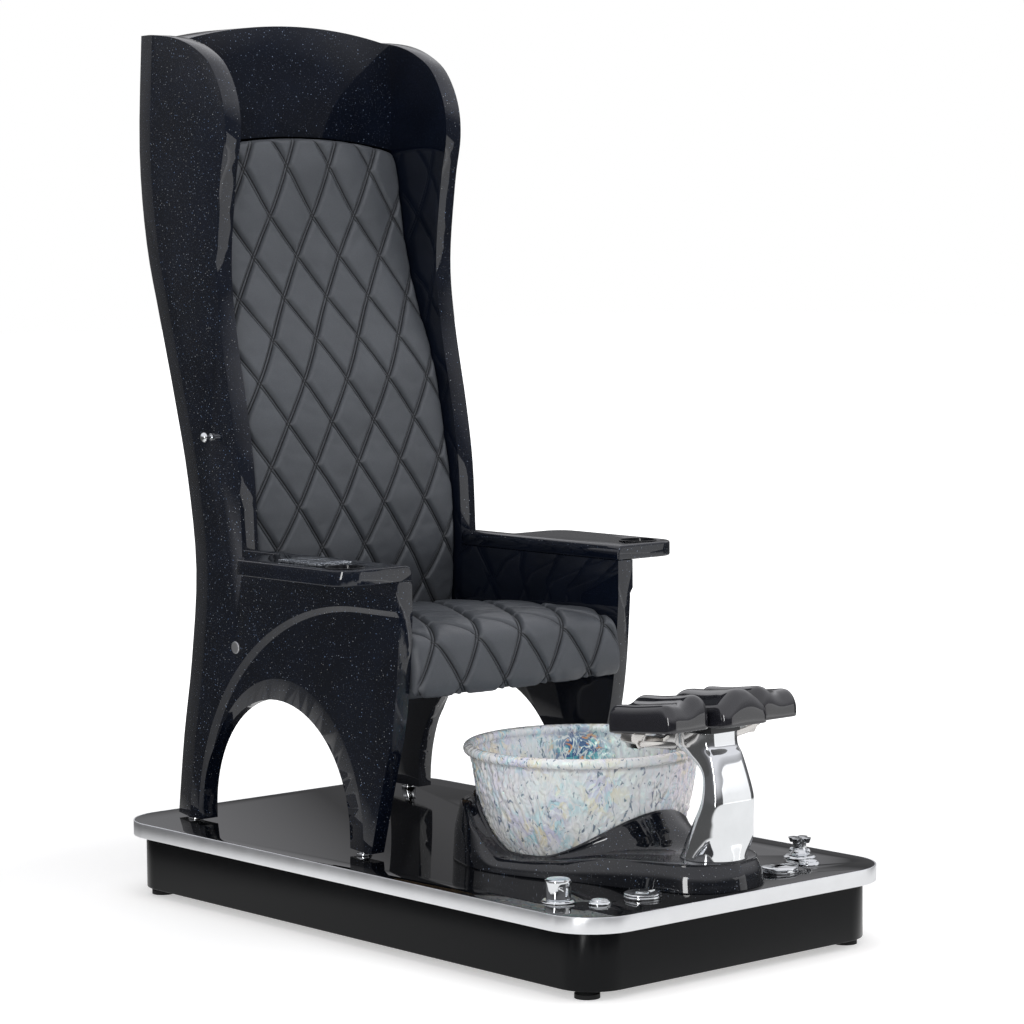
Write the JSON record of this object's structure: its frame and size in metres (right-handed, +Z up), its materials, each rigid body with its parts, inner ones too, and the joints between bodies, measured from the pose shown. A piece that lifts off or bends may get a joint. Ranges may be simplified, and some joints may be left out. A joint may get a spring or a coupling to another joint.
{
  "type": "pedicure spa chair",
  "caption": "Tall-backed pedicure chair on a low platform with a round glass foot bath, a chrome footrest whose side pads rise and fall, and water controls.",
  "frame": {"origin": "on the floor, under the middle of the part's outline", "axes": "+Z up; -Y is the front, where the sitter faces and the foot bath stands; +X is the sitter's left"},
  "size_m": [0.84, 1.424, 1.717],
  "materials": {
    "foot_rubber": "matt black rubber",
    "zinc": "zinc-plated steel",
    "frame_steel": "dark grey powder coat",
    "skirt": "high-gloss black",
    "plywood": "raw plywood",
    "deck_glass": "back-painted black glass, mirror-like",
    "band": "satin brushed",
    "shell": "black-blue gelcoat with fine metal flake under a high gloss",
    "chrome": "polished chrome",
    "cushion": "soft black upholstery leather, diamond quilted with double stitching",
    "liner": "polished steel",
    "keypad": "silver-grey frame",
    "key": "silver",
    "cap": "grey",
    "base": "black gelcoat with fine flake",
    "bowl_glass": "thick clear glass, slightly blue",
    "head": "gloss black",
    "pad": "high-gloss black",
    "link_steel": "polished steel",
    "switch": "black"
  },
  "bodies": {
    "chair": {"levelling_pads": "foot_rubber", "levelling_studs": "zinc", "plinth_frame": "frame_steel", "plinth_skirt": "skirt", "deck_board": "plywood", "deck_glass": "deck_glass", "edge_band": "band", "right_side_panel": "shell", "left_side_panel": "shell", "leg_glides": "chrome", "crest_shell": "shell", "rear_skin": "shell", "back_board": "plywood", "back_cushion": "cushion", "seat_board": "plywood", "seat_cleats": "plywood", "cross_rails": "plywood", "seat_cushion": "cushion", "right_armrest": "shell", "left_armrest": "shell", "cup_liners": "liner", "keypad_housing": "keypad", "rail_bolts": "zinc", "bolt_caps": "cap", "bag_hook": "chrome", "basin_base": "base", "bowl_seat": "foot_rubber", "glass_bowl": "bowl_glass", "drain_flange": "chrome", "drain_tailpiece": "zinc", "column": "chrome", "column_studs": "zinc", "footrest_head": "head", "centre_pad": "pad", "pivot_brackets": "link_steel", "valve_flanges": "chrome", "valve_bodies": "zinc", "button_bezels": "chrome", "air_switches": "switch", "dial_base": "chrome", "deck_drain": "chrome", "drain_cover": "chrome"},
    "mixer": {"mixer_knob": "chrome"},
    "cross": {"cross_handle": "chrome"},
    "right_button": {"right_air_button": "chrome"},
    "left_button": {"left_air_button": "chrome"},
    "dial": {"drain_dial": "chrome"},
    "stopper": {"drain_stopper": "chrome"},
    "key_1_body": {"key_1": "key"},
    "key_2_body": {"key_2": "key"},
    "key_3_body": {"key_3": "key"},
    "key_4_body": {"key_4": "key"},
    "right_front_arm": {"right_front_link": "link_steel"},
    "right_rear_arm": {"right_rear_link": "link_steel"},
    "right_foot_pad": {"right_pad_bracket": "link_steel", "right_pad": "pad"},
    "left_front_arm": {"left_front_link": "link_steel"},
    "left_rear_arm": {"left_rear_link": "link_steel"},
    "left_foot_pad": {"left_pad_bracket": "link_steel", "left_pad": "pad"}
  },
  "joints": [
    {"name": "mixer_turn", "type": "hinge", "parent": "chair", "child": "mixer", "pos_m": [-0.3, -0.542, 0.17], "axis": [0, 0, 1], "range_deg": [-60, 60]},
    {"name": "cross_turn", "type": "hinge", "parent": "chair", "child": "cross", "pos_m": [0.3, -0.542, 0.17], "axis": [0, 0, 1], "range_deg": [0, 90]},
    {"name": "right_button_press", "type": "slide", "parent": "chair", "child": "right_button", "axis": [0, 0, -1], "range_m": [0, 0.004], "stiffness_N_per_m": 1500, "springref_m": -0.001},
    {"name": "left_button_press", "type": "slide", "parent": "chair", "child": "left_button", "axis": [0, 0, -1], "range_m": [0, 0.004], "stiffness_N_per_m": 1500, "springref_m": -0.001},
    {"name": "dial_turn", "type": "hinge", "parent": "chair", "child": "dial", "pos_m": [-0.17, -0.617, 0.155], "axis": [0, 0, 1], "range_deg": [0, 90]},
    {"name": "stopper_lift", "type": "slide", "parent": "chair", "child": "stopper", "axis": [0, 0, 1], "range_m": [0, 0.0101]},
    {"name": "key_1_press", "type": "slide", "parent": "chair", "child": "key_1_body", "axis": [0, 0, -1], "range_m": [0, 0.0015], "stiffness_N_per_m": 1200, "springref_m": -0.0008},
    {"name": "key_2_press", "type": "slide", "parent": "chair", "child": "key_2_body", "axis": [0, 0, -1], "range_m": [0, 0.0015], "stiffness_N_per_m": 1200, "springref_m": -0.0008},
    {"name": "key_3_press", "type": "slide", "parent": "chair", "child": "key_3_body", "axis": [0, 0, -1], "range_m": [0, 0.0015], "stiffness_N_per_m": 1200, "springref_m": -0.0008},
    {"name": "key_4_press", "type": "slide", "parent": "chair", "child": "key_4_body", "axis": [0, 0, -1], "range_m": [0, 0.0015], "stiffness_N_per_m": 1200, "springref_m": -0.0008},
    {"name": "right_pad_raise", "type": "hinge", "parent": "chair", "child": "right_front_arm", "pos_m": [-0.06, -0.567, 0.401], "axis": [0, 1, 0], "range_deg": [-7, 12]},
    {"name": "right_rear_arm_turn", "type": "hinge", "parent": "chair", "child": "right_rear_arm", "pos_m": [-0.076, -0.567, 0.411], "axis": [0, 1, 0], "range_deg": [-7, 12]},
    {"name": "right_pad_level", "type": "hinge", "parent": "right_front_arm", "child": "right_foot_pad", "pos_m": [-0.137, -0.567, 0.412], "axis": [0, 1, 0], "range_deg": [-12, 7]},
    {"name": "left_pad_raise", "type": "hinge", "parent": "chair", "child": "left_front_arm", "pos_m": [0.06, -0.567, 0.401], "axis": [0, -1, 0], "range_deg": [-7, 12]},
    {"name": "left_rear_arm_turn", "type": "hinge", "parent": "chair", "child": "left_rear_arm", "pos_m": [0.076, -0.567, 0.411], "axis": [0, -1, 0], "range_deg": [-7, 12]},
    {"name": "left_pad_level", "type": "hinge", "parent": "left_front_arm", "child": "left_foot_pad", "pos_m": [0.137, -0.567, 0.412], "axis": [0, -1, 0], "range_deg": [-12, 7]}
  ],
  "couplings": [
    {"joint": "stopper_lift", "follows": "dial_turn", "m_per_rad": 0.0063662},
    {"joint": "right_rear_arm_turn", "follows": "right_pad_raise", "ratio": 1},
    {"joint": "right_pad_level", "follows": "right_pad_raise", "ratio": -1},
    {"joint": "left_rear_arm_turn", "follows": "left_pad_raise", "ratio": 1},
    {"joint": "left_pad_level", "follows": "left_pad_raise", "ratio": -1}
  ]
}
